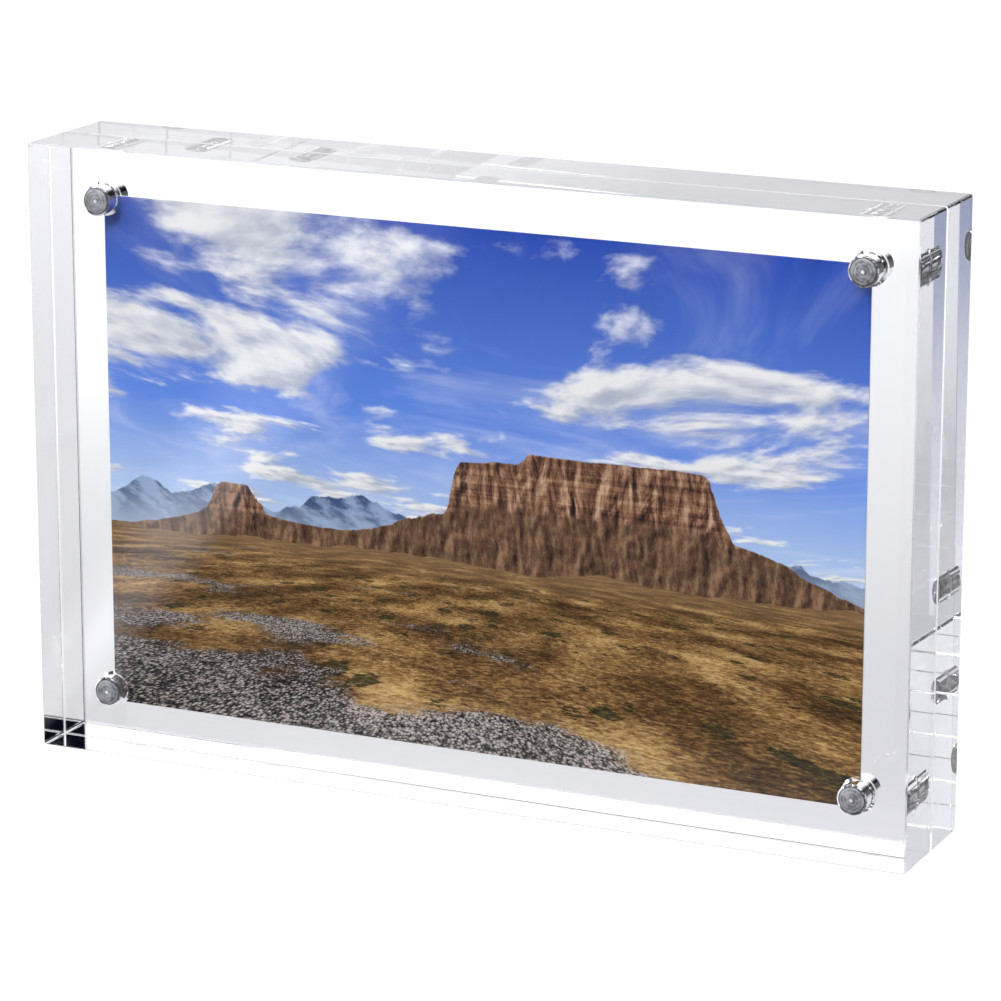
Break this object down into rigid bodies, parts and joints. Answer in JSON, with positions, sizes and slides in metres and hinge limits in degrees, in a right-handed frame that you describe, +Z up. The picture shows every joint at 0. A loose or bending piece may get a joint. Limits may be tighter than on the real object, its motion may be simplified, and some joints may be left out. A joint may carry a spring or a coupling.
{
  "type": "magnetic acrylic photo frame",
  "caption": "Free-standing clear acrylic photo frame: thick polished plates held face to face by corner magnets, with a photo print clamped in the seam.",
  "frame": {"origin": "on the table, under the middle of the seam between the two plates", "axes": "+X to the right as the picture is seen, +Y from the picture towards the back, +Z up"},
  "size_m": [0.162, 0.0244, 0.108],
  "materials": {
    "clear_acrylic": "polished",
    "nickel_plating": "polished",
    "cured_adhesive": "satin",
    "photo_paper": "gloss"
  },
  "bodies": {
    "rear_half": {"rear_plate": "clear_acrylic", "magnet_rear_top_left": "nickel_plating", "magnet_rear_top_right": "nickel_plating", "magnet_rear_bottom_left": "nickel_plating", "magnet_rear_bottom_right": "nickel_plating", "adhesive_rear_top_left": "cured_adhesive", "adhesive_rear_top_right": "cured_adhesive", "adhesive_rear_bottom_left": "cured_adhesive", "adhesive_rear_bottom_right": "cured_adhesive"},
    "front_half": {"front_plate": "clear_acrylic", "magnet_front_top_left": "nickel_plating", "magnet_front_top_right": "nickel_plating", "magnet_front_bottom_left": "nickel_plating", "magnet_front_bottom_right": "nickel_plating", "adhesive_front_top_left": "cured_adhesive", "adhesive_front_top_right": "cured_adhesive", "adhesive_front_bottom_left": "cured_adhesive", "adhesive_front_bottom_right": "cured_adhesive"},
    "print": {"photo_print": "photo_paper"}
  },
  "joints": [
    {"name": "front_pull", "type": "slide", "parent": "rear_half", "child": "front_half", "axis": [0, -1, 0], "range_m": [0, 0.06]},
    {"name": "print_lift", "type": "slide", "parent": "rear_half", "child": "print", "axis": [0, 0, 1], "range_m": [0, 0.11]}
  ]
}
